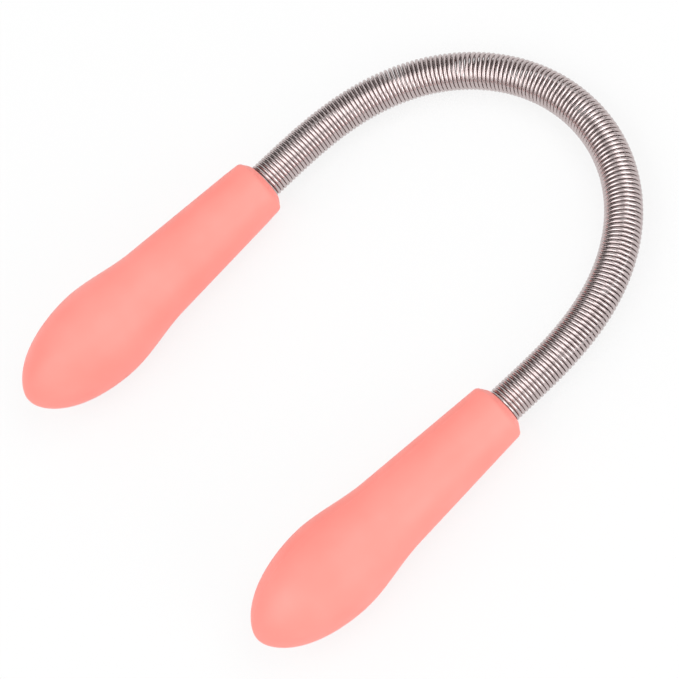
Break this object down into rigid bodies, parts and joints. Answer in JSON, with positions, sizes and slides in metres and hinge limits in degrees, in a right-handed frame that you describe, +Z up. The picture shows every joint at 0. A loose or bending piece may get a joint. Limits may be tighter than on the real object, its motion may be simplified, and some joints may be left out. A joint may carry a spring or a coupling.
{
  "type": "facial hair removal spring",
  "caption": "Hand tool that pulls out fine facial hair: a close-wound steel coil spring, bent into an arch, with a waisted handle with a rounded bulb on each end.",
  "frame": {"origin": "centre of the tool's bounding box across X and Y, at the height of the surface that the tool lies on", "axes": "+Y runs along the legs from the handles to the apex of the arch, +X from the left handle to the right handle, +Z up from the surface that the tool lies on"},
  "size_m": [0.0872, 0.1155, 0.0188],
  "materials": {
    "handle_plastic": "satin moulded plastic, salmon pink",
    "spring_steel": "bright drawn steel wire",
    "anchor_plastic": "plain moulded plastic, hidden"
  },
  "bodies": {
    "coil_spring_07": {"coil_spring_07": "spring_steel"},
    "coil_spring_06": {"coil_spring_06": "spring_steel"},
    "coil_spring_05": {"coil_spring_05": "spring_steel"},
    "coil_spring_04": {"coil_spring_04": "spring_steel"},
    "coil_spring_03": {"coil_spring_03": "spring_steel"},
    "coil_spring_02": {"coil_spring_02": "spring_steel"},
    "coil_spring_01": {"coil_spring_01": "spring_steel"},
    "coil_spring_08": {"coil_spring_08": "spring_steel"},
    "coil_spring_09": {"coil_spring_09": "spring_steel"},
    "coil_spring_10": {"coil_spring_10": "spring_steel"},
    "coil_spring_11": {"coil_spring_11": "spring_steel"},
    "coil_spring_12": {"coil_spring_12": "spring_steel"},
    "coil_spring_13": {"coil_spring_13": "spring_steel"},
    "left_handle": {"left_handle": "handle_plastic", "left_spring_anchor": "anchor_plastic"},
    "right_handle": {"right_handle": "handle_plastic", "right_spring_anchor": "anchor_plastic"}
  },
  "joints": [
    {"name": "spring_bend", "type": "hinge", "parent": "coil_spring_07", "child": "coil_spring_08", "pos_m": [0.00418, 0.0539, 0.00367], "axis": [0, 0.0616, 0.9981], "range_deg": [-2.5, 15], "stiffness_Nm_per_rad": 0.015},
    {"name": "bend_right_2", "type": "hinge", "parent": "coil_spring_08", "child": "coil_spring_09", "pos_m": [0.01227, 0.05173, 0.0038], "axis": [0, 0.0616, 0.9981], "range_deg": [-2.5, 15], "stiffness_Nm_per_rad": 0.015},
    {"name": "bend_right_3", "type": "hinge", "parent": "coil_spring_09", "child": "coil_spring_10", "pos_m": [0.01961, 0.0475, 0.00406], "axis": [0, 0.0616, 0.9981], "range_deg": [-2.5, 15], "stiffness_Nm_per_rad": 0.015},
    {"name": "bend_right_4", "type": "hinge", "parent": "coil_spring_10", "child": "coil_spring_11", "pos_m": [0.02582, 0.04129, 0.00445], "axis": [0, 0.0616, 0.9981], "range_deg": [-2.5, 15], "stiffness_Nm_per_rad": 0.015},
    {"name": "bend_right_5", "type": "hinge", "parent": "coil_spring_11", "child": "coil_spring_12", "pos_m": [0.03059, 0.03298, 0.00496], "axis": [0, 0.0616, 0.9981], "range_deg": [-2.5, 15], "stiffness_Nm_per_rad": 0.015},
    {"name": "bend_right_6", "type": "hinge", "parent": "coil_spring_12", "child": "coil_spring_13", "pos_m": [0.03362, 0.02134, 0.00568], "axis": [0, 0.0616, 0.9981], "range_deg": [-2.5, 15], "stiffness_Nm_per_rad": 0.015},
    {"name": "bend_left_1", "type": "hinge", "parent": "coil_spring_07", "child": "coil_spring_06", "pos_m": [-0.00418, 0.0539, 0.00367], "axis": [0, -0.0616, -0.9981], "range_deg": [-2.5, 15], "stiffness_Nm_per_rad": 0.015},
    {"name": "bend_left_2", "type": "hinge", "parent": "coil_spring_06", "child": "coil_spring_05", "pos_m": [-0.01227, 0.05173, 0.0038], "axis": [0, -0.0616, -0.9981], "range_deg": [-2.5, 15], "stiffness_Nm_per_rad": 0.015},
    {"name": "bend_left_3", "type": "hinge", "parent": "coil_spring_05", "child": "coil_spring_04", "pos_m": [-0.01961, 0.0475, 0.00406], "axis": [0, -0.0616, -0.9981], "range_deg": [-2.5, 15], "stiffness_Nm_per_rad": 0.015},
    {"name": "bend_left_4", "type": "hinge", "parent": "coil_spring_04", "child": "coil_spring_03", "pos_m": [-0.02582, 0.04129, 0.00445], "axis": [0, -0.0616, -0.9981], "range_deg": [-2.5, 15], "stiffness_Nm_per_rad": 0.015},
    {"name": "bend_left_5", "type": "hinge", "parent": "coil_spring_03", "child": "coil_spring_02", "pos_m": [-0.03059, 0.03298, 0.00496], "axis": [0, -0.0616, -0.9981], "range_deg": [-2.5, 15], "stiffness_Nm_per_rad": 0.015},
    {"name": "bend_left_6", "type": "hinge", "parent": "coil_spring_02", "child": "coil_spring_01", "pos_m": [-0.03362, 0.02134, 0.00568], "axis": [0, -0.0616, -0.9981], "range_deg": [-2.5, 15], "stiffness_Nm_per_rad": 0.015},
    {"name": "left_handle_roll", "type": "hinge", "parent": "coil_spring_01", "child": "left_handle", "pos_m": [-0.03419, 0.00326, 0.00679], "axis": [0, 0.9981, -0.0616], "continuous": true},
    {"name": "right_handle_roll", "type": "hinge", "parent": "coil_spring_13", "child": "right_handle", "pos_m": [0.03419, 0.00326, 0.00679], "axis": [0, -0.9981, 0.0616], "continuous": true}
  ],
  "couplings": [
    {"joint": "bend_right_2", "follows": "spring_bend", "ratio": 1},
    {"joint": "bend_right_3", "follows": "spring_bend", "ratio": 1},
    {"joint": "bend_right_4", "follows": "spring_bend", "ratio": 1},
    {"joint": "bend_right_5", "follows": "spring_bend", "ratio": 1},
    {"joint": "bend_right_6", "follows": "spring_bend", "ratio": 1},
    {"joint": "bend_left_1", "follows": "spring_bend", "ratio": 1},
    {"joint": "bend_left_2", "follows": "spring_bend", "ratio": 1},
    {"joint": "bend_left_3", "follows": "spring_bend", "ratio": 1},
    {"joint": "bend_left_4", "follows": "spring_bend", "ratio": 1},
    {"joint": "bend_left_5", "follows": "spring_bend", "ratio": 1},
    {"joint": "bend_left_6", "follows": "spring_bend", "ratio": 1},
    {"joint": "right_handle_roll", "follows": "left_handle_roll", "ratio": 1}
  ]
}
